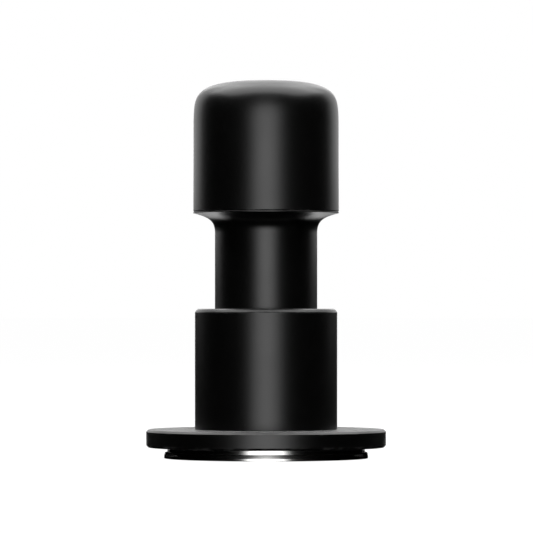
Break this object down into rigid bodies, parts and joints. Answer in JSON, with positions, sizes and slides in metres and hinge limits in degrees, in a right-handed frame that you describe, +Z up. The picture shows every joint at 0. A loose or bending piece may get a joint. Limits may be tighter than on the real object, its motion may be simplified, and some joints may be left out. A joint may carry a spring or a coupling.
{
  "type": "espresso tamper",
  "caption": "Hand tamper for espresso: steel tamping base, rim-levelling flange, sliding sleeve and a round-topped palm handle with a spring-loaded hammer inside.",
  "frame": {"origin": "middle of the tamping base's underside, on the tamper's axis", "axes": "+Z up the tamper's axis from the base to the palm cap; +X towards the sear plate's nose"},
  "size_m": [0.0688, 0.0688, 0.1083],
  "materials": {
    "anodised": "fine bead-blasted, black anodised, satin",
    "bare_aluminium": "turned, clear",
    "polished_steel": "mirror-polished stainless steel",
    "ground_steel": "ground stainless steel",
    "hardened_steel": "hardened, black-oiled steel",
    "spring_steel": "drawn spring wire",
    "bronze": "turned bearing bronze",
    "rubber": "matt black rubber",
    "polymer": "waxy off-white PTFE"
  },
  "bodies": {
    "collar": {"levelling_flange": "anodised", "sleeve": "anodised", "flange_screws": "hardened_steel", "stem_guide": "bare_aluminium", "stem_bush": "bronze", "return_spring": "spring_steel", "end_bumper": "rubber", "neck_bush": "bronze", "gland_ring": "anodised", "wiper_ring": "polymer"},
    "plunger": {"tamping_base": "polished_steel", "rest_ring": "rubber", "stem": "ground_steel", "stem_head": "hardened_steel", "sear_spring": "spring_steel"},
    "sear": {"sear_plate": "hardened_steel"},
    "carriage": {"neck_wear_ring": "polymer"},
    "handle": {"neck_tube": "anodised", "neck_retainer": "ground_steel", "palm_cap": "anodised", "cap_oring": "rubber", "hammer_stop_ring": "spring_steel"},
    "hammer": {"hammer": "ground_steel"},
    "seat": {"spring_seat": "ground_steel", "main_spring": "spring_steel"},
    "adjuster": {"force_adjuster": "bronze"}
  },
  "joints": [
    {"name": "base_plunge", "type": "slide", "parent": "plunger", "child": "collar", "axis": [0, 0, 1], "range_m": [0, 0.01], "stiffness_N_per_m": 900, "springref_m": -0.01, "deforming": ["return_spring"]},
    {"name": "sear_shift", "type": "slide", "parent": "plunger", "child": "sear", "axis": [-1, 0, 0], "range_m": [0, 0.0012], "stiffness_N_per_m": 600, "springref_m": -0.002, "deforming": ["sear_spring"]},
    {"name": "handle_press", "type": "slide", "parent": "plunger", "child": "carriage", "axis": [0, 0, -1], "range_m": [0, 0.01], "stiffness_N_per_m": 6000, "springref_m": -0.01},
    {"name": "handle_spin", "type": "hinge", "parent": "carriage", "child": "handle", "pos_m": [0, 0, 0.033], "axis": [0, 0, 1], "continuous": true},
    {"name": "hammer_lift", "type": "slide", "parent": "handle", "child": "hammer", "axis": [0, 0, 1], "range_m": [0, 0.01], "deforming": ["main_spring"]},
    {"name": "seat_travel", "type": "slide", "parent": "handle", "child": "seat", "axis": [0, 0, -1], "range_m": [-0.003, 0]},
    {"name": "adjuster_turn", "type": "hinge", "parent": "seat", "child": "adjuster", "pos_m": [0, 0, 0.0925], "axis": [0, 0, -1], "range_deg": [-1080, 0]}
  ],
  "couplings": [
    {"joint": "sear_shift", "follows": "handle_press", "ratio": 0.12},
    {"joint": "hammer_lift", "follows": "handle_press", "ratio": 1},
    {"joint": "adjuster_turn", "follows": "seat_travel", "rad_per_m": 6283.2}
  ]
}
